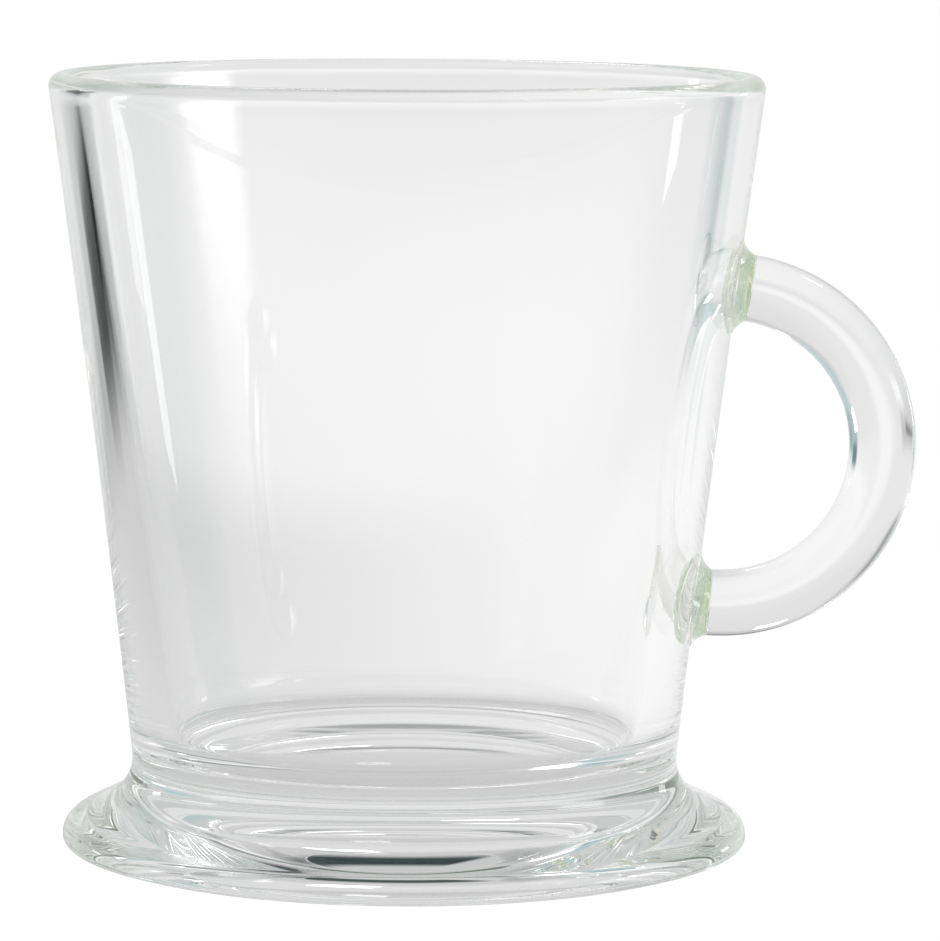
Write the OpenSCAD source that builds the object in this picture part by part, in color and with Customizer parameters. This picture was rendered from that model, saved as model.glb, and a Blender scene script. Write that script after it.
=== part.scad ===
// Cappuccino cup of clear pressed glass, with a flared foot and a C-shaped handle.
// Z is the cup's axis, z = 0 is the table, and the handle points along +X. Sizes are in millimetres.

/* [Bowl] */
// Height of the rim above the table
cup_height = 82; // [78:0.5:88]
// Outer radius of the wall just below the lip
rim_radius = 37.65; // [36.5:0.05:39]
// Lean of the wall's lower half, in degrees
wall_lean = 6.55; // [6.3:0.05:7]
// Thickness of the wall at the rim
rim_thickness = 2.8; // [2.4:0.1:3.2]
// Thickness of the wall beside the floor
base_thickness = 4.6; // [4.2:0.1:5]
// Height of the inside floor above the table
floor_height = 10.3; // [10:0.1:11]
// Radius of the rounded corner between floor and wall
floor_corner = 4; // [3:0.5:5]

/* [Neck] */
// Outer radius of the narrowest line, between bowl and foot
neck_radius = 29; // [28.6:0.1:29.4]
// Height of that line above the table
neck_height = 9.45; // [9.2:0.05:9.7]
// Radius of the hollow curve round the neck
neck_curve = 5.1; // [4.8:0.1:5.4]
// Height of the seam between foot and bowl
seam_height = 8.8; // [8.6:0.1:9]

/* [Foot] */
// Largest radius of the foot
foot_radius = 36.42; // [35.8:0.02:37]
// Height of the foot's widest line above the table
edge_height = 1.23; // [1.15:0.01:1.35]
// Rounding of the foot's edge above its widest line
shoulder_radius = 2.2; // [2:0.1:2.4]
// Rounding of the foot's edge below its widest line
edge_radius = 0.85; // [0.75:0.05:0.95]
// Slope of the underside just inside the edge, in degrees
underside_slope = 17; // [15:0.5:20]
// Radius of the domed hollow under the foot
hollow_radius = 32; // [30:0.5:33]
// Depth of that hollow at its centre
hollow_depth = 5; // [4:0.1:5.6]

/* [Handle] */
// Height of the handle's middle above the table
handle_height = 42.8; // [41:0.2:45]
// Radius of the bend, to the middle of the rod
bend_radius = 16.9; // [16:0.1:17.5]
// Radius of the handle's rod
rod_radius = 3.55; // [3.3:0.05:3.7]
// Thickness of the fused glass between wall and handle
pad_thickness = 0.8; // [0.7:0.05:1]
// Radius of the flare where the handle spreads onto the wall
flare_radius = 2.6; // [2.4:0.1:2.8]

/* [Hidden] */
$fn = 180;
// Glass colours: the clear body and the greener weld bands
clear_glass = [0.80, 0.90, 0.89, 0.55];
weld_glass = [0.72, 0.86, 0.66, 0.65];
// Extra length on shapes that are cut away
overcut = 1;

// Neck: a round hollow that touches the wall above it and the flare below it
neck_centre = [neck_radius + neck_curve, neck_height];
neck_top = neck_centre + neck_curve * [-cos(wall_lean), sin(wall_lean)];

// Bowl: outer wall as two cones, inner wall as one, and a round lip
lip_radius = rim_thickness / 2;
lip_height = cup_height - lip_radius;
waist_height = (neck_top.y + lip_height) / 2;
waist_radius = neck_top.x + tan(wall_lean) * (waist_height - neck_top.y);
upper_lean = (rim_radius - waist_radius) / (lip_height - waist_height);
function wall_radius(z) = z < waist_height
    ? neck_top.x + tan(wall_lean) * (z - neck_top.y)
    : rim_radius - upper_lean * (lip_height - z);
inner_rim = rim_radius - rim_thickness;
inner_base = wall_radius(floor_height) - base_thickness;
inner_angle = atan2(inner_rim - inner_base, lip_height - floor_height);
corner_centre = [
    inner_base + floor_corner * tan(inner_angle) - floor_corner / cos(inner_angle),
    floor_height + floor_corner
];

// Foot: the flare is the straight line that touches both the round shoulder and the neck curve
shoulder_centre = [foot_radius - shoulder_radius, edge_height];
edge_centre = [foot_radius - edge_radius, edge_height];
centre_step = neck_centre - shoulder_centre;
flare_slope =
    atan2(centre_step.x, centre_step.y) + acos((neck_curve + shoulder_radius) / norm(centre_step));
flare_normal = [sin(flare_slope), cos(flare_slope)];
edge_low = edge_centre + edge_radius * [sin(underside_slope), -cos(underside_slope)];
standing_radius = edge_low.x - edge_low.y / tan(underside_slope);
// Radius of the sphere that cuts the hollow under the foot
hollow_sphere = (pow(hollow_radius, 2) + pow(hollow_depth, 2)) / (2 * hollow_depth);

// Handle: its ends lie in one plane that leans with the wall
function handle_lean(rise) = atan2(
    wall_radius(handle_height + rise) - wall_radius(handle_height - rise), 2 * rise);
lean = handle_lean(bend_radius);
upper_end = handle_height + bend_radius * cos(lean);
bend_centre = [
    wall_radius(upper_end) - bend_radius * sin(lean) + pad_thickness / cos(lean),
    0,
    handle_height
];

// Flare of a handle end, measured out from the wall: an arc, then a straight skirt onto the wall
arc_start = 25;
arc_end = 62;
flare_centre = [rod_radius + flare_radius * cos(arc_start), 0.96 * flare_radius];
skirt_top = flare_centre - flare_radius * [cos(arc_end), sin(arc_end)];
skirt_depth = 1.2;
skirt_radius = skirt_top.x + (skirt_top.y + skirt_depth) * tan(arc_end);

// Outline of the bowl's outside, as a solid section from the seam to just under the lip
module wall_section() {
    difference() {
        polygon([
            [0, seam_height],
            [neck_centre.x, seam_height],
            neck_top,
            [waist_radius, waist_height],
            [rim_radius, lip_height],
            [0, lip_height]
        ]);
        translate(neck_centre) circle(r = neck_curve);
    }
}

// Half disc that rounds the foot's edge above its widest line
module shoulder_section() {
    translate(shoulder_centre)
        intersection() {
            circle(r = shoulder_radius);
            translate([-shoulder_radius, 0]) square([2 * shoulder_radius, shoulder_radius]);
        }
}

// Section of the space inside the bowl
module inside_section() {
    union() {
        polygon([
            [0, floor_height],
            [corner_centre.x, floor_height],
            corner_centre + floor_corner * [cos(inner_angle), -sin(inner_angle)],
            [inner_rim, lip_height],
            [inner_rim, lip_height + overcut],
            [0, lip_height + overcut]
        ]);
        translate(corner_centre) circle(r = floor_corner);
    }
}

// Section of one flared handle end, from the wall out to where it runs into the rod
module flare_section() {
    difference() {
        polygon([
            [0, -skirt_depth],
            [skirt_radius, -skirt_depth],
            skirt_top,
            [flare_centre.x, flare_centre.y],
            [0, flare_centre.y]
        ]);
        translate(flare_centre) circle(r = flare_radius);
    }
}

// Places a child, drawn outwards from the wall, at the handle's upper (1) or lower (-1) end
module at_handle_end(side) {
    translate(bend_centre)
        rotate([0, lean, 0])
            translate([-pad_thickness, 0, side * bend_radius])
                rotate([0, 90, 0]) children();
}

// Half of the flare on the handle's side of the weld plane
module flared_end() {
    rotate_extrude()
        intersection() {
            flare_section();
            translate([0, pad_thickness]) square([skirt_radius + overcut, flare_centre.y]);
        }
}

// Fused glass between the weld plane and the wall
module handle_pad(side) {
    color(weld_glass)
        difference() {
            at_handle_end(side)
                rotate_extrude()
                    intersection() {
                        flare_section();
                        translate([0, -skirt_depth])
                            square([skirt_radius + overcut, skirt_depth + pad_thickness]);
                    }
            rotate_extrude() wall_section();
        }
}

module bowl() {
    color(clear_glass)
        rotate_extrude() {
            difference() {
                wall_section();
                inside_section();
            }
            translate([rim_radius - lip_radius, lip_height]) circle(r = lip_radius);
        }
}

module foot() {
    color(clear_glass)
        difference() {
            rotate_extrude()
                difference() {
                    union() {
                        polygon([
                            [0, 0],
                            [standing_radius, 0],
                            edge_low,
                            shoulder_centre + shoulder_radius * flare_normal,
                            neck_centre - neck_curve * flare_normal,
                            [neck_centre.x, seam_height],
                            [0, seam_height]
                        ]);
                        shoulder_section();
                        translate(edge_centre) circle(r = edge_radius);
                    }
                    translate(neck_centre) circle(r = neck_curve);
                }
            translate([0, 0, hollow_depth - hollow_sphere]) sphere(r = hollow_sphere);
        }
}

module handle() {
    color(clear_glass)
        union() {
            translate(bend_centre)
                rotate([0, lean, 0])
                    rotate([90, 0, 0])
                        rotate([0, 0, -90])
                            rotate_extrude(angle = 180)
                                translate([bend_radius, 0]) circle(r = rod_radius);
            at_handle_end(1) flared_end();
            at_handle_end(-1) flared_end();
        }
}

module upper_handle_pad() {
    handle_pad(1);
}

module lower_handle_pad() {
    handle_pad(-1);
}

bowl();
foot();
handle();
upper_handle_pad();
lower_handle_pad();
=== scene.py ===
"""Dresses the glass cappuccino cup: turned bowl and foot, bent handle, fused pads, studio and camera."""

import logging
import math
from collections.abc import Callable
from dataclasses import dataclass, field
from enum import Enum
from functools import cached_property

import bmesh
import bpy
from bpy.types import NodeSocket
from mathutils import Matrix, Vector


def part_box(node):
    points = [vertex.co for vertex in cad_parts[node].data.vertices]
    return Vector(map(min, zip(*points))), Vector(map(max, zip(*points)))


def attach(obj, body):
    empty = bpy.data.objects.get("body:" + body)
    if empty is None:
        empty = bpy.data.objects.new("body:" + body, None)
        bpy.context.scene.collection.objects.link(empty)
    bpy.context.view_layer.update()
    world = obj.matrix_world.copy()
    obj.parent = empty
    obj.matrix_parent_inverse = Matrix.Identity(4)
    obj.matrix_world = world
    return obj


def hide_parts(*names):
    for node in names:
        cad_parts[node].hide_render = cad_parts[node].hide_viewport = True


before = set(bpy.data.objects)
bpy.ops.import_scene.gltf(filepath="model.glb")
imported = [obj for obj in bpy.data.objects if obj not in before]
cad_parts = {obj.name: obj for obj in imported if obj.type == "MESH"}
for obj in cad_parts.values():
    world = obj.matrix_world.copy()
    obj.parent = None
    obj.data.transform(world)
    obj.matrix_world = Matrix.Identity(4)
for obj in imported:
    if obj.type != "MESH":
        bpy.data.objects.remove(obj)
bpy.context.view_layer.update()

LOG = logging.getLogger("cup")
MM = 0.001
# Half of the hairline left between two fused faces, so that neither lies exactly on the other
HAIRLINE = 0.01 * MM
# Points closer together than this are joined into one
MERGE = 0.0005 * MM
# Edges that bend more than this stay sharp under smooth shading
CREASE = math.radians(32.0)
# Faces round the bowl and round the foot
ROUND_STEPS = 300
WHITE = (1.0, 1.0, 1.0)
DARK_ROOM = (0.12, 0.18, 0.12)
BODY = "root"


class Side(Enum):
    """The two ends of the handle, as a sign along the leaning wall."""

    UPPER = 1
    LOWER = -1


class NodeTree:
    """A small hand for laying and linking shader nodes."""

    def __init__(self, tree: bpy.types.NodeTree) -> None:
        """Clears the tree so that it holds only what is added here."""
        self.tree = tree
        tree.nodes.clear()

    def add(self, kind: str, **settings: object) -> bpy.types.Node:
        """Adds a node and sets its properties.

        Args:
            kind: Blender's node type name.
            settings: Property names and values of that node.

        Returns:
            The new node.
        """
        node = self.tree.nodes.new(kind)
        for name, value in settings.items():
            setattr(node, name, value)
        return node

    def plug(self, socket: NodeSocket, value: object) -> None:
        """Links another node's output into a socket, or sets a plain value on it."""
        if isinstance(value, NodeSocket):
            self.tree.links.new(value, socket)
        else:
            socket.default_value = value

    def feed(self, node: bpy.types.Node, **values: object) -> bpy.types.Node:
        """Sets or links a node's inputs by name, with an underscore for each space.

        Args:
            node: The node to feed.
            values: Input names with a plain value or another node's output.

        Returns:
            The same node.
        """
        for name, value in values.items():
            self.plug(node.inputs[name.replace("_", " ")], value)
        return node

    def math(self, operation: str, *values: object, clamp: bool = False) -> NodeSocket:
        """Adds a Math node.

        Args:
            operation: The Math node's operation.
            values: Plain numbers or outputs, in the order of its inputs.
            clamp: Whether the result stays between 0 and 1.

        Returns:
            The node's output.
        """
        node = self.add("ShaderNodeMath", operation=operation, use_clamp=clamp)
        for socket, value in zip(node.inputs, values):
            self.plug(socket, value)
        return node.outputs[0]

    def tone(self, colour: tuple[float, float, float]) -> NodeSocket:
        """Adds a plain colour."""
        node = self.add("ShaderNodeRGB")
        node.outputs[0].default_value = (*colour, 1.0)
        return node.outputs[0]

    def mix(self, share: NodeSocket, first: NodeSocket, second: NodeSocket) -> NodeSocket:
        """Adds a colour mix.

        Args:
            share: How much of the second colour shows, from 0 to 1.
            first: Colour at 0.
            second: Colour at 1.

        Returns:
            The mixed colour.
        """
        node = self.add("ShaderNodeMix", data_type="RGBA")
        for name, value in (("Factor_Float", share), ("A_Color", first), ("B_Color", second)):
            self.plug(next(item for item in node.inputs if item.identifier == name), value)
        return next(item for item in node.outputs if item.identifier == "Result_Color")

    def blend(self, share: NodeSocket, first: bpy.types.Node, second: bpy.types.Node) -> bpy.types.Node:
        """Adds a mix of two shaders.

        Args:
            share: How much of the second shader shows, from 0 to 1.
            first: Shader at 0.
            second: Shader at 1.

        Returns:
            The mixing node.
        """
        node = self.add("ShaderNodeMixShader")
        for socket, value in zip(node.inputs, (share, first.outputs[0], second.outputs[0])):
            self.plug(socket, value)
        return node

    def smooth_step(self, value: NodeSocket, low: float, high: float) -> NodeSocket:
        """Maps a value to a soft step from 0 at low to 1 at high."""
        node = self.add("ShaderNodeMapRange", interpolation_type="SMOOTHSTEP")
        self.feed(node, Value=value, From_Min=low, From_Max=high)
        return node.outputs[0]


@dataclass(frozen=True)
class GlassFinish:
    """Clear pressed glass whose tint comes from its depth.

    Attributes:
        name: The material's name.
        tint: Colour that the glass leaves after a unit of depth.
        density: Depth scale of the tint, per metre.
        ripple: Height of the pressing waves on the surface, in metres.
        index: Refractive index.
        broad_scale: Noise scale of the broad waves.
        fine_scale: Noise scale of the fine waves.
        fine_share: Height of the fine waves as a share of the broad ones.
    """

    name: str
    tint: tuple[float, float, float]
    density: float
    ripple: float = 0.015 * MM
    index: float = 1.52
    broad_scale: float = 55.0
    fine_scale: float = 240.0
    fine_share: float = 0.02

    def material(self) -> bpy.types.Material:
        """Makes the material, or finds it if it was made before.

        Returns:
            Glass with fire-polished waves, a tint by depth, and no surface on fused faces.
        """
        found = bpy.data.materials.get(self.name)
        if found:
            return found
        made = bpy.data.materials.new(self.name)
        made.use_nodes = True
        nodes = NodeTree(made.node_tree)
        place = nodes.add("ShaderNodeTexCoord")
        broad = nodes.add("ShaderNodeTexNoise")
        nodes.feed(broad, Vector=place.outputs["Object"], Scale=self.broad_scale, Detail=1.0, Roughness=0.4)
        fine = nodes.add("ShaderNodeTexNoise")
        nodes.feed(fine, Vector=place.outputs["Object"], Scale=self.fine_scale, Detail=2.0, Roughness=0.5)
        waves = nodes.math("MULTIPLY_ADD", fine.outputs["Fac"], self.fine_share, broad.outputs["Fac"])
        bump = nodes.add("ShaderNodeBump")
        nodes.feed(bump, Strength=1.0, Distance=self.ripple, Height=waves)
        fused = nodes.add("ShaderNodeAttribute", attribute_name="fused")
        open_share = nodes.math("SUBTRACT", 1.0, fused.outputs["Fac"], clamp=True)
        glass = nodes.add("ShaderNodeBsdfPrincipled")
        nodes.feed(
            glass,
            Base_Color=(*WHITE, 1.0),
            Roughness=0.0,
            IOR=self.index,
            Transmission_Weight=1.0,
            Normal=bump.outputs["Normal"],
            Alpha=open_share,
        )
        depth = nodes.add("ShaderNodeVolumeAbsorption")
        nodes.feed(depth, Color=(*self.tint, 1.0), Density=self.density)
        out = nodes.add("ShaderNodeOutputMaterial")
        nodes.feed(out, Surface=glass.outputs[0], Volume=depth.outputs[0])
        return made


CLEAR_GLASS = GlassFinish("fire_polished_glass", tint=(0.44, 0.80, 0.50), density=0.28)
WELD_GLASS = GlassFinish("fused_weld_glass", tint=(0.95, 0.95, 0.20), density=45.0)


@dataclass
class Outline:
    """Half of a turned piece's section, drawn from point to point as radius and height."""

    points: list[Vector] = field(default_factory=list)

    def to(self, radius: float, height: float, steps: int = 1) -> "Outline":
        """Draws a straight stretch.

        Args:
            radius: Radius at its end, in metres.
            height: Height at its end, in metres.
            steps: How many equal pieces it is cut into.

        Returns:
            The outline itself.
        """
        end = Vector((radius, 0.0, height))
        if not self.points:
            self.points.append(end)
            return self
        start = self.points[-1].copy()
        for step in range(1, steps + 1):
            self.points.append(start.lerp(end, step / steps))
        return self

    def arc(
        self, centre: tuple[float, float], radius: float, start: float, end: float, steps: int
    ) -> "Outline":
        """Draws a round stretch.

        Args:
            centre: Radius and height of the arc's centre, in metres.
            radius: The arc's own radius, in metres.
            start: First angle in degrees, from outwards and up.
            end: Last angle in degrees.
            steps: How many equal pieces it is cut into.

        Returns:
            The outline itself.
        """
        for step in range(steps + 1):
            angle = math.radians(start + (end - start) * step / steps)
            self.to(centre[0] + radius * math.cos(angle), centre[1] + radius * math.sin(angle))
        return self

    def along(self, radius_at: Callable[[float], float], start: float, end: float, steps: int) -> "Outline":
        """Draws a stretch whose radius follows a rule.

        Args:
            radius_at: Gives the radius at a height.
            start: First height, in metres.
            end: Last height, in metres.
            steps: How many equal pieces it is cut into.

        Returns:
            The outline itself.
        """
        for step in range(steps + 1):
            height = start + (end - start) * step / steps
            self.to(radius_at(height), height)
        return self

    def turned(self, steps: int) -> bmesh.types.BMesh:
        """Turns the outline about the upright axis.

        Args:
            steps: How many faces go round.

        Returns:
            A closed mesh with its faces outwards.
        """
        mesh = bmesh.new()
        verts = [mesh.verts.new(point) for point in self.points]
        edges = [mesh.edges.new(pair) for pair in zip(verts, verts[1:])]
        bmesh.ops.spin(
            mesh,
            geom=verts + edges,
            cent=(0.0, 0.0, 0.0),
            axis=(0.0, 0.0, 1.0),
            angle=math.tau,
            steps=steps,
            use_merge=True,
        )
        bmesh.ops.remove_doubles(mesh, verts=mesh.verts[:], dist=MERGE)
        bmesh.ops.recalc_face_normals(mesh, faces=mesh.faces[:])
        return mesh


@dataclass
class Wall:
    """The cup's outside from the neck to the lip, which the handle pads lie on.

    Attributes:
        rim_radius: Largest radius, just under the lip.
        lip_height: Height where the lip's round begins.
        seam_height: Height of the seam between bowl and foot.
        neck_radius: Radius of the narrowest line.
        neck_height: Height of that line.
        neck_curve: Radius of the hollow curve round the neck.
        neck_lean: Lean of the wall where that curve runs into it, in radians.
    """

    rim_radius: float
    lip_height: float
    seam_height: float
    neck_radius: float = 29.0 * MM
    neck_height: float = 9.45 * MM
    neck_curve: float = 5.1 * MM
    neck_lean: float = math.radians(6.2)

    @cached_property
    def neck_centre(self) -> tuple[float, float]:
        """Radius and height of the neck curve's centre."""
        return self.neck_radius + self.neck_curve, self.neck_height

    @cached_property
    def neck_top(self) -> tuple[float, float]:
        """Radius and height where the neck curve runs into the wall."""
        radius = self.neck_centre[0] - self.neck_curve * math.cos(self.neck_lean)
        return radius, self.neck_height + self.neck_curve * math.sin(self.neck_lean)

    def radius_at(self, height: float) -> float:
        """Gives the outer radius at a height.

        Args:
            height: Height above the table, in metres, from the seam to the lip.

        Returns:
            Radius in metres.
        """
        start, low = self.neck_top
        if height < low:
            drop = height - self.neck_height
            return self.neck_centre[0] - math.sqrt(self.neck_curve**2 - drop**2)
        slope = math.tan(self.neck_lean)
        whole = self.lip_height - low
        bend = (self.rim_radius - start - slope * whole) / whole**2
        return start + slope * (height - low) + bend * (height - low) ** 2

    def pressed(self, point: Vector, lift: float = 0.0) -> Vector:
        """Moves a point sideways along X onto the wall.

        Args:
            point: A point near the wall on the handle's side.
            lift: How far out of the wall it comes to lie.

        Returns:
            The point on the wall.
        """
        radius = self.radius_at(point.z) + lift
        return Vector((math.sqrt(max(radius**2 - point.y**2, 0.0)), point.y, point.z))

    def depth(self, point: Vector) -> float:
        """Gives how far a point lies outside the wall."""
        return math.hypot(point.x, point.y) - self.radius_at(point.z)


@dataclass
class HandleShape:
    """The handle's bend, rod and flared ends, shared by the handle and its pads.

    Attributes:
        wall: The wall that the handle stands on.
        height: Height of the handle's middle.
        bend_radius: Radius of the bend to the middle of the rod.
        rod_radius: Radius of the rod.
        pad_thickness: Fused glass between the wall and the weld plane.
        flare_radius: Radius of the flare's hollow curve.
        flare_reach: How far out that curve's centre lies, as a share of its radius.
        arc_start: Angle on that curve where it runs into the rod, in radians.
        arc_end: Angle on that curve where the straight skirt begins, in radians.
    """

    wall: Wall
    height: float = 42.8 * MM
    bend_radius: float = 16.9 * MM
    rod_radius: float = 3.55 * MM
    pad_thickness: float = 0.8 * MM
    flare_radius: float = 2.6 * MM
    flare_reach: float = 0.96
    arc_start: float = math.radians(25.0)
    arc_end: float = math.radians(62.0)

    @cached_property
    def lean(self) -> float:
        """Angle at which the handle leans out with the wall, in radians."""
        high = self.wall.radius_at(self.height + self.bend_radius)
        low = self.wall.radius_at(self.height - self.bend_radius)
        return math.atan2(high - low, 2.0 * self.bend_radius)

    @cached_property
    def placed(self) -> Matrix:
        """Place of the bend's middle, with X away from the wall and Z up along it."""
        lean = self.lean
        end_height = self.height + self.bend_radius * math.cos(lean)
        out = self.wall.radius_at(end_height) - self.bend_radius * math.sin(lean)
        middle = Vector((out + self.pad_thickness / math.cos(lean), 0.0, self.height))
        return Matrix.Translation(middle) @ Matrix.Rotation(lean, 4, "Y")

    def end_placed(self, side: Side) -> Matrix:
        """Gives the place of one handle end, with Z pointing out from the wall.

        Args:
            side: Which end.

        Returns:
            A matrix from the end's own axes to the cup's.
        """
        step = Matrix.Translation((-self.pad_thickness, 0.0, side.value * self.bend_radius))
        return self.placed @ step @ Matrix.Rotation(math.pi / 2.0, 4, "Y")

    def flare(self, out: float) -> float:
        """Gives the radius of a handle end at a distance from the wall.

        Args:
            out: Distance out from the wall along the end's axis, in metres.

        Returns:
            Radius in metres: a straight skirt, then a hollow arc, then the plain rod.
        """
        centre_radius = self.rod_radius + self.flare_radius * math.cos(self.arc_start)
        centre_out = self.flare_reach * self.flare_radius
        skirt_out = centre_out - self.flare_radius * math.sin(self.arc_end)
        if out < skirt_out:
            skirt_radius = centre_radius - self.flare_radius * math.cos(self.arc_end)
            return skirt_radius + (skirt_out - out) * math.tan(self.arc_end)
        rise = min(centre_out - out, self.flare_radius)
        if rise <= 0.0:
            return self.rod_radius
        return max(self.rod_radius, centre_radius - math.sqrt(self.flare_radius**2 - rise**2))


class GlassPiece:
    """One glass sub-assembly: a mesh that stands for a node and carries a glass finish."""

    node: str
    finish: GlassFinish
    slot: str

    def shape(self) -> bmesh.types.BMesh:
        """Models the piece. Each kind of piece has its own."""
        raise NotImplementedError

    def is_fused(self, face: bmesh.types.BMFace) -> bool:
        """Tells whether a face is fused to a neighbour, so that no surface is left there."""
        raise NotImplementedError

    def dress(self) -> bpy.types.Object:
        """Builds the piece, marks its fused faces and gives it its glass.

        Returns:
            The finished object, riding on the cup's body.
        """
        mesh = self.shape()
        fused = mesh.faces.layers.float.new("fused")
        for face in mesh.faces:
            face.smooth = True
            face[fused] = float(self.is_fused(face))
        for edge in mesh.edges:
            edge.smooth = len(edge.link_faces) == 2 and edge.calc_face_angle(math.pi) < CREASE
        data = bpy.data.meshes.new(self.node + "_glass")
        mesh.to_mesh(data)
        mesh.free()
        data.materials.append(self.finish.material())
        piece = bpy.data.objects.new(self.node + "_glass", data)
        bpy.context.scene.collection.objects.link(piece)
        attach(piece, BODY)
        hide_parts(self.node)
        LOG.info("%s: %d faces", piece.name, len(data.polygons))
        return piece


@dataclass
class Bowl(GlassPiece):
    """The tapered wall with its round lip, and the floor.

    Attributes:
        wall: The outside of the wall.
        handle: The handle's shape, for the places where its pads are fused on.
        pads: The upper and the lower pad.
        rim_thickness: Thickness of the wall at the rim.
        base_thickness: Thickness of the wall beside the floor.
        floor_height: Height of the inside floor.
        floor_corner: Rounding between floor and wall.
    """

    wall: Wall
    handle: HandleShape
    pads: tuple["HandlePad", "HandlePad"]
    rim_thickness: float = 2.8 * MM
    base_thickness: float = 4.6 * MM
    floor_height: float = 10.3 * MM
    floor_corner: float = 4.0 * MM
    node: str = "bowl"
    finish: GlassFinish = CLEAR_GLASS
    slot: str = "clear_glass"

    def shape(self) -> bmesh.types.BMesh:
        """Turns the bowl's section and fits its wall to the pads.

        Returns:
            The bowl's closed mesh.
        """
        wall = self.wall
        lip = self.rim_thickness / 2.0
        inner_rim = wall.rim_radius - self.rim_thickness
        inner_base = wall.radius_at(self.floor_height) - self.base_thickness
        slope = math.atan2(inner_rim - inner_base, wall.lip_height - self.floor_height)
        corner = (
            inner_base + self.floor_corner * (math.tan(slope) - 1.0 / math.cos(slope)),
            self.floor_height + self.floor_corner,
        )
        seam = wall.seam_height + HAIRLINE
        section = Outline().to(0.0, seam).to(wall.radius_at(seam), seam, steps=8)
        section.along(wall.radius_at, seam, wall.neck_top[1], steps=10)
        section.along(wall.radius_at, wall.neck_top[1], wall.lip_height, steps=110)
        section.arc((wall.rim_radius - lip, wall.lip_height), lip, 0.0, 180.0, steps=18)
        tangent = -math.degrees(slope)
        touch = (
            corner[0] + self.floor_corner * math.cos(slope),
            corner[1] - self.floor_corner * math.sin(slope),
        )
        section.to(touch[0], touch[1], steps=48)
        section.arc(corner, self.floor_corner, tangent, -90.0, steps=12)
        section.to(0.0, self.floor_height, steps=10)
        mesh = section.turned(ROUND_STEPS)
        self.fit_to_pads(mesh)
        return mesh

    def pad_near(self, point: Vector) -> "HandlePad":
        """Gives the pad on the point's half of the handle."""
        return self.pads[0] if point.z > self.handle.height else self.pads[1]

    def under_pad(self, point: Vector) -> bool:
        """Tells whether a point of the outer wall lies under a pad."""
        outside = point.x > 0.0 and abs(self.wall.depth(point)) < 10.0 * HAIRLINE
        return outside and self.pad_near(point).covers(point)

    def is_fused(self, face: bmesh.types.BMFace) -> bool:
        """Tells whether a face lies on the seam with the foot or under a handle pad."""
        centre = face.calc_center_median()
        return centre.z < self.wall.seam_height + 2.0 * HAIRLINE or self.under_pad(centre)

    def fit_to_pads(self, mesh: bmesh.types.BMesh) -> None:
        """Slides the wall's own points onto the edge of each pad, so that faces end there.

        Args:
            mesh: The bowl's mesh, changed in place.
        """
        covered = {face for face in mesh.faces if self.under_pad(face.calc_center_median())}
        edge_verts = set()
        for edge in mesh.edges:
            if len([face for face in edge.link_faces if face in covered]) == 1:
                edge_verts.update(edge.verts)
        for vert in edge_verts:
            pad = self.pad_near(vert.co)
            turn, _ = pad.seen_from_axis(vert.co)
            vert.co = self.wall.pressed(pad.edge_point(turn))


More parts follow.
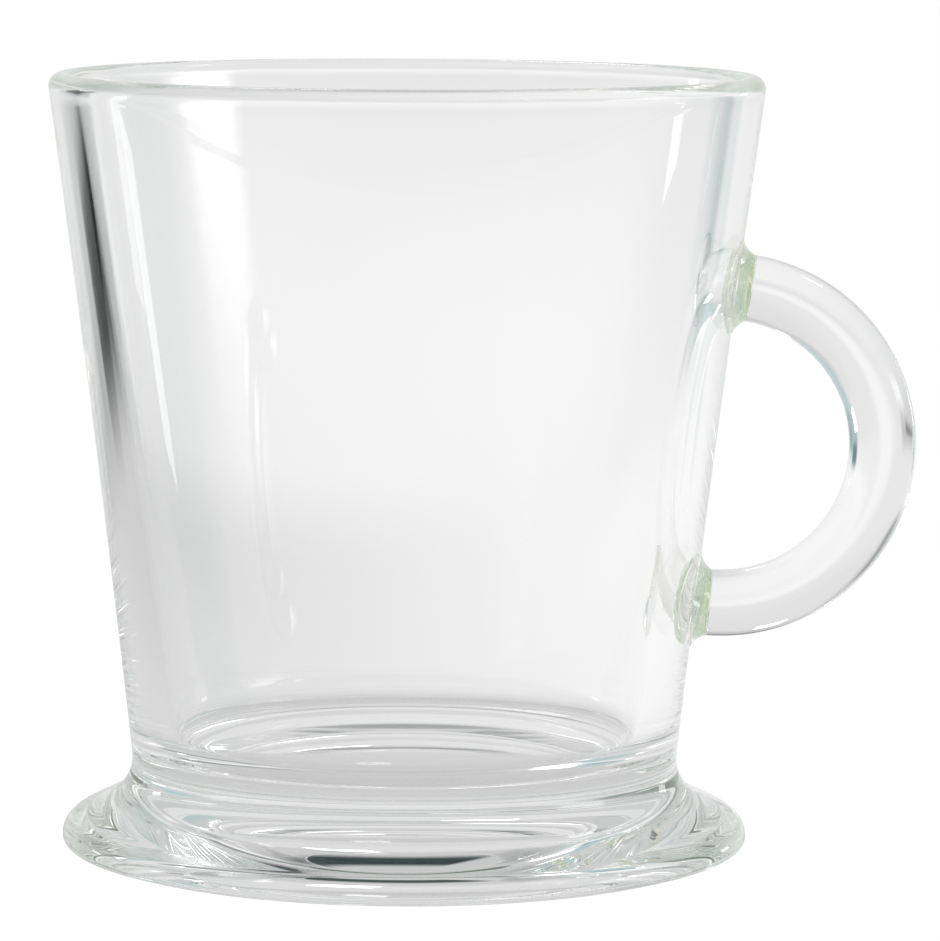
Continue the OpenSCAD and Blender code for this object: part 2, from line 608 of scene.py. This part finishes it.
@dataclass
class HandlePad(GlassPiece):
    """Fused glass between the wall and one end of the handle.

    Attributes:
        wall: The wall it lies on.
        handle: The handle's shape.
        side: Which end of the handle.
        reach: How far behind the flat weld the collar starts, before it is pressed onto the wall.
        round_steps: Faces round the pad.
        halvings: Steps of the search for the pad's edge.
    """

    wall: Wall
    handle: HandleShape
    side: Side
    finish: GlassFinish = WELD_GLASS
    slot: str = "weld_glass"
    reach: float = 1.1 * MM
    round_steps: int = 96
    halvings: int = 30

    @property
    def node(self) -> str:
        """The node that this pad stands for."""
        return f"{self.side.name.lower()}_handle_pad"

    @cached_property
    def place(self) -> Matrix:
        """Place of the pad, with Z pointing out from the wall."""
        return self.handle.end_placed(self.side)

    def skirt_point(self, turn: float, out: float) -> Vector:
        """Gives a point on the pad's flare.

        Args:
            turn: Direction round the pad's axis, in radians.
            out: Distance out from the wall, in metres.

        Returns:
            The point, in the cup's axes.
        """
        radius = self.handle.flare(out)
        local = Vector((radius * math.cos(turn), radius * math.sin(turn), out))
        return self.place @ local

    def edge_out(self, turn: float) -> float:
        """Finds where the flare runs into the wall, as a distance along the pad's axis.

        Args:
            turn: Direction round the pad's axis, in radians.

        Returns:
            Distance in metres, which is negative where the round wall falls away.
        """
        low, high = -self.reach, self.handle.pad_thickness
        for _ in range(self.halvings):
            middle = (low + high) / 2.0
            if self.wall.depth(self.skirt_point(turn, middle)) > 0.0:
                high = middle
            else:
                low = middle
        return high

    def edge_radius(self, turn: float) -> float:
        """Gives the pad's radius on the wall in one direction."""
        return self.handle.flare(self.edge_out(turn))

    def edge_point(self, turn: float) -> Vector:
        """Gives the point of the pad's edge on the wall in one direction."""
        return self.skirt_point(turn, self.edge_out(turn))

    def seen_from_axis(self, point: Vector) -> tuple[float, float]:
        """Gives a point's direction round the pad's axis and its distance from that axis."""
        local = self.place.inverted() @ point
        return math.atan2(local.y, local.x), math.hypot(local.x, local.y)

    def covers(self, point: Vector) -> bool:
        """Tells whether a point of the wall lies inside the pad's edge."""
        turn, distance = self.seen_from_axis(point)
        return distance < self.handle.flare(-self.reach) and distance < self.edge_radius(turn)

    def shape(self) -> bmesh.types.BMesh:
        """Turns a plain collar and presses its inner side onto the wall.

        Returns:
            The pad's closed mesh.
        """
        weld = self.handle.pad_thickness - HAIRLINE
        back = -self.reach
        section = Outline().to(0.0, back).to(self.handle.flare(back), back, steps=6)
        section.along(self.handle.flare, back + HAIRLINE, weld, steps=16)
        section.to(0.0, weld, steps=4)
        mesh = section.turned(self.round_steps)
        for vert in mesh.verts:
            turn = math.atan2(vert.co.y, vert.co.x)
            radius = math.hypot(vert.co.x, vert.co.y)
            if vert.co.z < back + HAIRLINE / 2.0:
                share = radius / self.handle.flare(back)
                edge = self.edge_point(turn)
                centre = self.place @ Vector((0.0, 0.0, 0.0))
                vert.co = self.wall.pressed(centre.lerp(edge, share), HAIRLINE)
            elif vert.co.z < weld - HAIRLINE / 2.0:
                share = (weld - vert.co.z) / (weld - back)
                vert.co = self.skirt_point(turn, weld + (self.edge_out(turn) - weld) * share)
            else:
                vert.co = self.place @ vert.co
        bmesh.ops.recalc_face_normals(mesh, faces=mesh.faces[:])
        return mesh

    def is_fused(self, face: bmesh.types.BMFace) -> bool:
        """Tells whether a face lies on the wall or on the weld plane."""
        centre = face.calc_center_median()
        on_wall = abs(self.wall.depth(centre)) < 3.0 * HAIRLINE
        local = self.place.inverted() @ centre
        on_weld = abs(local.z - self.handle.pad_thickness) < 3.0 * HAIRLINE
        return on_wall or on_weld


@dataclass
class Handle(GlassPiece):
    """The bent rod with its flared ends.

    Attributes:
        handle: The handle's shape.
        end_turn: Part of the bend at each end that is cut more finely, in radians.
        rod_sides: Faces round the rod.
        end_steps: Faces along each end.
        middle_steps: Faces along the rest of the bend.
    """

    handle: HandleShape
    node: str = "handle"
    finish: GlassFinish = CLEAR_GLASS
    slot: str = "clear_glass"
    end_turn: float = math.radians(10.0)
    rod_sides: int = 72
    end_steps: int = 24
    middle_steps: int = 120

    def shape(self) -> bmesh.types.BMesh:
        """Spins the rod through half a turn and spreads both ends.

        Returns:
            The handle's closed mesh.
        """
        bend = self.handle.bend_radius
        mesh = bmesh.new()
        start = Matrix.Translation((0.0, 0.0, -bend)) @ Matrix.Rotation(math.pi / 2.0, 4, "Y")
        ring = bmesh.ops.create_circle(
            mesh, segments=self.rod_sides, radius=self.handle.rod_radius, cap_ends=False, matrix=start
        )["verts"]
        edges = list({edge for vert in ring for edge in vert.link_edges})
        geometry = ring + edges
        end = (self.end_turn, self.end_steps)
        middle = (math.pi - 2.0 * self.end_turn, self.middle_steps)
        for angle, steps in (end, middle, end):
            spun = bmesh.ops.spin(
                mesh,
                geom=geometry,
                cent=(0.0, 0.0, 0.0),
                axis=(0.0, -1.0, 0.0),
                angle=angle,
                steps=steps,
            )
            geometry = spun["geom_last"]
        bmesh.ops.remove_doubles(mesh, verts=mesh.verts[:], dist=2.0 * MERGE)
        for vert in mesh.verts:
            turn = math.atan2(vert.co.x, abs(vert.co.z))
            centre = Vector((bend * math.sin(turn), 0.0, math.copysign(bend * math.cos(turn), vert.co.z)))
            spread = self.handle.flare(self.handle.pad_thickness + bend * turn) / self.handle.rod_radius
            vert.co = centre + (vert.co - centre) * spread
            if vert.co.x < HAIRLINE:
                vert.co.x = HAIRLINE
        bmesh.ops.holes_fill(mesh, edges=mesh.edges[:], sides=0)
        bmesh.ops.transform(mesh, matrix=self.handle.placed, verts=mesh.verts[:])
        bmesh.ops.recalc_face_normals(mesh, faces=mesh.faces[:])
        return mesh

    def is_fused(self, face: bmesh.types.BMFace) -> bool:
        """Tells whether a face is one of the two ends in the weld plane."""
        local = self.handle.placed.inverted() @ face.calc_center_median()
        return local.x < 2.0 * HAIRLINE


@dataclass
class Foot(GlassPiece):
    """The flared foot with its domed hollow underneath.

    Attributes:
        wall: The outside above it, whose neck curve it carries on.
        radius: Largest radius.
        edge_height: Height of the widest line.
        shoulder_radius: Rounding of the edge above that line.
        edge_radius: Rounding of the edge below that line.
        underside_slope: Slope of the underside just inside the edge, in degrees.
        hollow_radius: Radius of the hollow underneath.
        hollow_depth: Depth of that hollow.
    """

    wall: Wall
    radius: float
    edge_height: float = 1.23 * MM
    shoulder_radius: float = 2.2 * MM
    edge_radius: float = 0.85 * MM
    underside_slope: float = 17.0
    hollow_radius: float = 32.0 * MM
    hollow_depth: float = 5.0 * MM
    node: str = "foot"
    finish: GlassFinish = CLEAR_GLASS
    slot: str = "clear_glass"

    def shape(self) -> bmesh.types.BMesh:
        """Turns the foot's section.

        Returns:
            The foot's closed mesh.
        """
        wall = self.wall
        neck, curve = wall.neck_centre, wall.neck_curve
        shoulder = (self.radius - self.shoulder_radius, self.edge_height)
        edge = (self.radius - self.edge_radius, self.edge_height)
        across, up = neck[0] - shoulder[0], neck[1] - shoulder[1]
        slope = math.atan2(across, up) + math.acos((curve + self.shoulder_radius) / math.hypot(across, up))
        flare = 90.0 - math.degrees(slope)
        dome = (self.hollow_radius**2 + self.hollow_depth**2) / (2.0 * self.hollow_depth)
        dome_angle = math.degrees(math.asin(self.hollow_radius / dome))
        under = math.radians(self.underside_slope)
        low = (edge[0] + self.edge_radius * math.sin(under), edge[1] - self.edge_radius * math.cos(under))
        stand = low[0] - low[1] / math.tan(under)
        seam = wall.seam_height - HAIRLINE
        seam_angle = 180.0 + math.degrees(math.asin((wall.neck_height - seam) / curve))
        section = Outline().to(0.0, seam).to(wall.radius_at(seam), seam, steps=8)
        section.arc(neck, curve, seam_angle, 180.0 + flare, steps=28)
        section.arc(shoulder, self.shoulder_radius, flare, 0.0, steps=20)
        section.arc(edge, self.edge_radius, 0.0, self.underside_slope - 90.0, steps=16)
        section.to(stand, 0.0, steps=3).to(self.hollow_radius, 0.0, steps=6)
        section.arc((0.0, self.hollow_depth - dome), dome, 90.0 - dome_angle, 90.0, steps=24)
        return section.turned(ROUND_STEPS)

    def is_fused(self, face: bmesh.types.BMFace) -> bool:
        """Tells whether a face lies on the seam with the bowl."""
        return face.calc_center_median().z > self.wall.seam_height - 2.0 * HAIRLINE


@dataclass(frozen=True)
class Softbox:
    """A soft studio lamp that faces the cup.

    Attributes:
        name: The lamp's name.
        bearing: Degrees round from straight behind the cup, positive towards the handle.
        height: Height of its middle, in metres.
        distance: Distance from the cup's axis, in metres.
        size: Width and height, in metres.
        strength: Brightness of its face, where 1 is white.
        aim: Height on the cup's axis that it faces, in metres.
    """

    name: str
    bearing: float
    height: float
    distance: float
    size: tuple[float, float]
    strength: float
    aim: float = 0.045

    def place(self) -> bpy.types.Object:
        """Adds the lamp, turned towards the cup.

        Returns:
            The lamp's object.
        """
        lamp = bpy.data.lights.new(self.name, "AREA")
        lamp.shape = "RECTANGLE"
        lamp.size, lamp.size_y = self.size
        lamp.energy = self.strength * math.pi * self.size[0] * self.size[1]
        holder = bpy.data.objects.new(self.name, lamp)
        angle = math.radians(self.bearing)
        holder.location = (self.distance * math.sin(angle), self.distance * math.cos(angle), self.height)
        towards = Vector((0.0, 0.0, self.aim)) - holder.location
        holder.rotation_euler = towards.to_track_quat("-Z", "Y").to_euler()
        holder.visible_camera = False
        bpy.context.scene.collection.objects.link(holder)
        return holder


@dataclass(frozen=True)
class Card:
    """A pale or dark card of the surround, as a patch of directions with soft edges.

    Attributes:
        name: What the card is called in the world's nodes.
        bearing: First and last bearing in degrees, from straight behind the cup towards the handle.
        height: Lowest and highest elevation, in degrees.
        tone: Its colour, where 1 is white.
        soft: Width of its soft edges, in degrees.
    """

    name: str
    bearing: tuple[float, float]
    height: tuple[float, float]
    tone: tuple[float, float, float]
    soft: float = 4.0

    def mask(self, nodes: NodeTree, bearing: NodeSocket, height: NodeSocket) -> NodeSocket:
        """Lays the nodes of the card's patch.

        Args:
            nodes: The world's nodes.
            bearing: Bearing of a direction, in degrees.
            height: Elevation of a direction, in degrees.

        Returns:
            1 inside the card, 0 outside it.
        """
        half = self.soft / 2.0
        parts = []
        for value, (low, high) in ((bearing, self.bearing), (height, self.height)):
            parts.append(nodes.smooth_step(value, low - half, low + half))
            parts.append(nodes.smooth_step(value, high + half, high - half))
        across = nodes.math("MULTIPLY", parts[0], parts[1])
        upright = nodes.math("MULTIPLY", parts[2], parts[3])
        return nodes.math("MULTIPLY", across, upright)


@dataclass
class Studio:
    """White floor, pale surround with cards, and soft lamps.

    Attributes:
        floor_radius: Radius of the floor round the cup.
        floor_solid: Radius inside which the floor is solid, before it fades into the surround.
        floor_drop: Hairline of air under the standing ring.
        floor_sides: Corners of the floor's edge.
        paper: Lightness of the floor's paper under the lamps.
        glow_share: How much of the floor, as glass and camera see it, is a glow and not lit paper.
        eye_level: Brightness of that glow as the camera sees it.
        left_painted_light: Painted light: brightness of the open floor's glow on the left, as the glass shows
            it.
        right_painted_light: Painted light: the same on the right, brighter as though the light came from
            there.
        painted_light_reach: Places along X between which the painted light goes from its left to its right
            brightness.
        floor_shade: Painted shadow: brightness of the floor's glow under the cup, where the cup's own shade
            falls.
        shade_reach: Distances from the axis between which that painted shadow ends.
        surround: Brightness of the pale surround that the glass shows.
        cards: Cards on that surround, each laid over those before it.
        lamps: The soft lamps.
        bounces: Limit of the light paths, high because the wall leads light round inside the glass.
    """

    floor_radius: float = 0.27
    floor_solid: float = 0.16
    floor_drop: float = 0.15 * MM
    floor_sides: int = 96
    paper: float = 0.93
    glow_share: float = 0.9
    eye_level: float = 1.1
    left_painted_light: float = 0.62
    right_painted_light: float = 1.0
    painted_light_reach: tuple[float, float] = (-0.13, 0.09)
    floor_shade: float = 0.60
    shade_reach: tuple[float, float] = (0.02, 0.06)
    surround: float = 0.80
    cards: tuple[Card, ...] = (
        Card("grey_above", bearing=(-200.0, 200.0), height=(13.0, 100.0), tone=(0.60, 0.60, 0.60), soft=16.0),
        Card("pale_back", bearing=(-28.0, 36.0), height=(6.0, 44.0), tone=(0.78, 0.78, 0.78), soft=10.0),
        Card("dark_gap_above", bearing=(-80.0, 24.0), height=(57.0, 71.0), tone=(0.02, 0.04, 0.04), soft=7.0),
        Card("dark_left", bearing=(-130.0, -35.0), height=(11.0, 30.0), tone=(0.25, 0.29, 0.26), soft=8.0),
        Card("dark_room_right", bearing=(125.0, 200.0), height=(14.0, 38.0), tone=DARK_ROOM, soft=8.0),
        Card("dark_room_left", bearing=(-200.0, -130.0), height=(14.0, 38.0), tone=DARK_ROOM, soft=8.0),
        Card("pale_middle", bearing=(-12.0, 45.0), height=(-10.5, -6.0), tone=(0.87, 0.87, 0.87), soft=6.0),
        Card("pale_centre", bearing=(-6.0, 8.0), height=(-10.0, -4.2), tone=(0.93, 0.93, 0.93), soft=6.0),
        Card("pale_left", bearing=(-140.0, -50.0), height=(-7.0, 9.0), tone=(0.90, 0.90, 0.90), soft=12.0),
        Card("grey_left", bearing=(-49.0, -21.5), height=(-18.0, -7.0), tone=(0.50, 0.52, 0.51), soft=5.0),
        Card("black_left", bearing=(-50.0, -29.5), height=(-20.0, -9.3), tone=(0.0, 0.004, 0.003), soft=2.0),
        Card("bright_low", bearing=(10.0, 46.0), height=(-20.0, -11.0), tone=(1.0, 1.0, 1.0), soft=6.0),
        Card("teal_right", bearing=(46.0, 84.0), height=(6.0, 42.0), tone=(0.42, 0.58, 0.59), soft=8.0),
        Card("dark_right", bearing=(56.0, 82.0), height=(-9.0, 8.0), tone=(0.26, 0.38, 0.38), soft=6.0),
        Card("teal_low", bearing=(43.0, 58.0), height=(-13.0, 6.0), tone=(0.36, 0.50, 0.51), soft=6.0),
        Card("dark_low", bearing=(44.5, 57.0), height=(-13.0, -5.5), tone=(0.06, 0.18, 0.19), soft=4.0),
        Card("side_light", bearing=(89.0, 113.0), height=(6.0, 15.0), tone=(4.2, 4.2, 4.2), soft=8.0),
    )
    lamps: tuple[Softbox, ...] = (
        Softbox("back_strip", bearing=46.0, height=0.07, distance=1.2, size=(0.14, 0.14), strength=2.4),
        Softbox("left_strip", bearing=-56.0, height=0.185, distance=1.2, size=(0.14, 0.08), strength=3.0),
        Softbox("high_lamp", bearing=-8.0, height=0.85, distance=1.0, size=(0.16, 0.16), strength=3.0),
        Softbox("right_lamp", bearing=62.0, height=1.05, distance=0.8, size=(0.16, 0.16), strength=3.0),
    )
    bounces: int = 400

    def glow_with_painted_light(self, nodes: NodeTree, spot: NodeSocket, away: NodeSocket, eye: NodeSocket) -> NodeSocket:
        """Lays the nodes of the floor's glow, with painted light and a painted shadow for the glass.

        Args:
            nodes: The floor's nodes.
            spot: Place on the floor.
            away: Distance of that place from the cup's axis.
            eye: 1 for what the camera sees itself, 0 for what the glass shows.

        Returns:
            White for the camera. For the glass, painted light that is lighter on the right, and a painted
            shadow under the cup.
        """
        axes = nodes.add("ShaderNodeSeparateXYZ")
        nodes.feed(axes, Vector=spot)
        # Painted light: the glow that the glass shows grows brighter from left to right.
        right = nodes.smooth_step(axes.outputs["X"], *self.painted_light_reach)
        level = nodes.math("MULTIPLY_ADD", right, self.right_painted_light - self.left_painted_light, self.left_painted_light)
        # Painted shadow: the glow that the glass shows is darker under the cup.
        clear = nodes.smooth_step(away, *self.shade_reach)
        level = nodes.math("SUBTRACT", level, self.floor_shade)
        level = nodes.math("MULTIPLY_ADD", clear, level, self.floor_shade)
        return nodes.math("MULTIPLY_ADD", eye, nodes.math("SUBTRACT", self.eye_level, level), level)

    def floor_finish(self) -> bpy.types.Material:
        """Makes the floor's material.

        Returns:
            White to the eye and, through glass, a pale glow with painted light and a painted shadow under the
            cup, fading into the surround, with a faint real shadow from the paper.
        """
        finish = bpy.data.materials.new("white_floor")
        finish.use_nodes = True
        nodes = NodeTree(finish.node_tree)
        paper = nodes.add("ShaderNodeBsdfDiffuse")
        nodes.feed(paper, Color=(self.paper, self.paper, self.paper, 1.0))
        path = nodes.add("ShaderNodeLightPath")
        eye = path.outputs["Is Camera Ray"]
        place = nodes.add("ShaderNodeTexCoord")
        spot = place.outputs["Object"]
        length = nodes.add("ShaderNodeVectorMath", operation="LENGTH")
        nodes.feed(length, Vector=spot)
        away = length.outputs["Value"]
        # Glow that carries the painted light and painted shadow the glass shows; the camera sees it evenly
        # white.
        glow = nodes.add("ShaderNodeEmission")
        nodes.feed(glow, Color=(*WHITE, 1.0), Strength=self.glow_with_painted_light(nodes, spot, away, eye))
        seen = nodes.math("MAXIMUM", eye, path.outputs["Is Transmission Ray"])
        seen = nodes.math("MAXIMUM", seen, path.outputs["Is Glossy Ray"])
        mixed = nodes.blend(nodes.math("MULTIPLY", seen, self.glow_share), paper, glow)
        fade = nodes.smooth_step(away, self.floor_solid, self.floor_radius)
        faded = nodes.blend(fade, mixed, nodes.add("ShaderNodeBsdfTransparent"))
        out = nodes.add("ShaderNodeOutputMaterial")
        nodes.feed(out, Surface=faded.outputs[0])
        return finish

    def floor(self) -> bpy.types.Object:
        """Lays the floor.

        Returns:
            The floor's object.
        """
        mesh = bmesh.new()
        place = Matrix.Translation((0.0, 0.0, -self.floor_drop))
        bmesh.ops.create_circle(
            mesh, segments=self.floor_sides, radius=self.floor_radius, cap_ends=True, matrix=place
        )
        data = bpy.data.meshes.new("floor")
        mesh.to_mesh(data)
        mesh.free()
        data.materials.append(self.floor_finish())
        floor = bpy.data.objects.new("floor", data)
        bpy.context.scene.collection.objects.link(floor)
        return floor

    def world(self) -> None:
        """Sets the surround: white to the eye, pale with cards for the glass and the light."""
        world = bpy.data.worlds.new("studio")
        world.use_nodes = True
        bpy.context.scene.world = world
        nodes = NodeTree(world.node_tree)
        place = nodes.add("ShaderNodeTexCoord")
        axes = nodes.add("ShaderNodeSeparateXYZ")
        nodes.feed(axes, Vector=place.outputs["Generated"])
        bearing = nodes.math("DEGREES", nodes.math("ARCTAN2", axes.outputs["X"], axes.outputs["Y"]))
        height = nodes.math("DEGREES", nodes.math("ARCSINE", axes.outputs["Z"]))
        tone = nodes.tone((self.surround, self.surround, self.surround))
        for card in self.cards:
            tone = nodes.mix(card.mask(nodes, bearing, height), tone, nodes.tone(card.tone))
            tone.node.label = card.name
        path = nodes.add("ShaderNodeLightPath")
        tone = nodes.mix(path.outputs["Is Camera Ray"], tone, nodes.tone(WHITE))
        back = nodes.add("ShaderNodeBackground")
        nodes.feed(back, Color=tone, Strength=1.0)
        out = nodes.add("ShaderNodeOutputWorld")
        nodes.feed(out, Surface=back.outputs[0])

    def build(self) -> None:
        """Sets up the floor, surround, lamps and light paths."""
        self.floor()
        self.world()
        for lamp in self.lamps:
            lamp.place()
        scene = bpy.context.scene
        scene.view_settings.view_transform = "Standard"
        scene.cycles.max_bounces = self.bounces
        scene.cycles.transmission_bounces = self.bounces
        scene.cycles.glossy_bounces = self.bounces
        scene.cycles.transparent_max_bounces = self.bounces


@dataclass(frozen=True)
class Viewpoint:
    """The camera, as worked out from the photographed outline.

    Attributes:
        distance: Distance in front of the cup's axis, in metres.
        height: Height above the table, in metres.
        lens: Focal length, in millimetres.
        sensor: Width and height of the frame behind that lens, in millimetres.
        down: Downward tilt, in degrees.
        aside: Turn towards the handle, in degrees.
        roll: Roll about the view, in degrees.
    """

    distance: float = 0.549
    height: float = 0.1065
    lens: float = 199.5
    sensor: float = 36.0
    down: float = 6.91
    aside: float = 0.71
    roll: float = 0.34

    def place(self) -> bpy.types.Object:
        """Adds the camera and makes it the scene's.

        Returns:
            The camera's object.
        """
        data = bpy.data.cameras.new("camera")
        data.lens = self.lens
        data.sensor_width = data.sensor_height = self.sensor
        camera = bpy.data.objects.new("camera", data)
        turn = Matrix.Rotation(-math.radians(self.aside), 4, "Z")
        tilt = Matrix.Rotation(math.radians(90.0 - self.down), 4, "X")
        roll = Matrix.Rotation(math.radians(self.roll), 4, "Z")
        spot = Matrix.Translation((0.0, -self.distance, self.height))
        camera.matrix_world = spot @ turn @ tilt @ roll
        bpy.context.scene.collection.objects.link(camera)
        bpy.context.scene.camera = camera
        return camera


def main() -> None:
    """Builds the camera, the cup's pieces and the studio."""
    logging.basicConfig(level=logging.INFO, format="%(name)s: %(message)s")
    Viewpoint().place()
    bowl_low, bowl_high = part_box("bowl")
    _, foot_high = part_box("foot")
    wall = Wall(
        rim_radius=bowl_high.y,
        lip_height=bowl_high.z - Bowl.rim_thickness / 2.0,
        seam_height=bowl_low.z,
    )
    shape = HandleShape(wall)
    pads = HandlePad(wall, shape, Side.UPPER), HandlePad(wall, shape, Side.LOWER)
    Bowl(wall, shape, pads).dress()
    Foot(wall, foot_high.y).dress()
    Handle(shape).dress()
    for pad in pads:
        pad.dress()
    Studio().build()


if __name__ == "__main__":
    main()
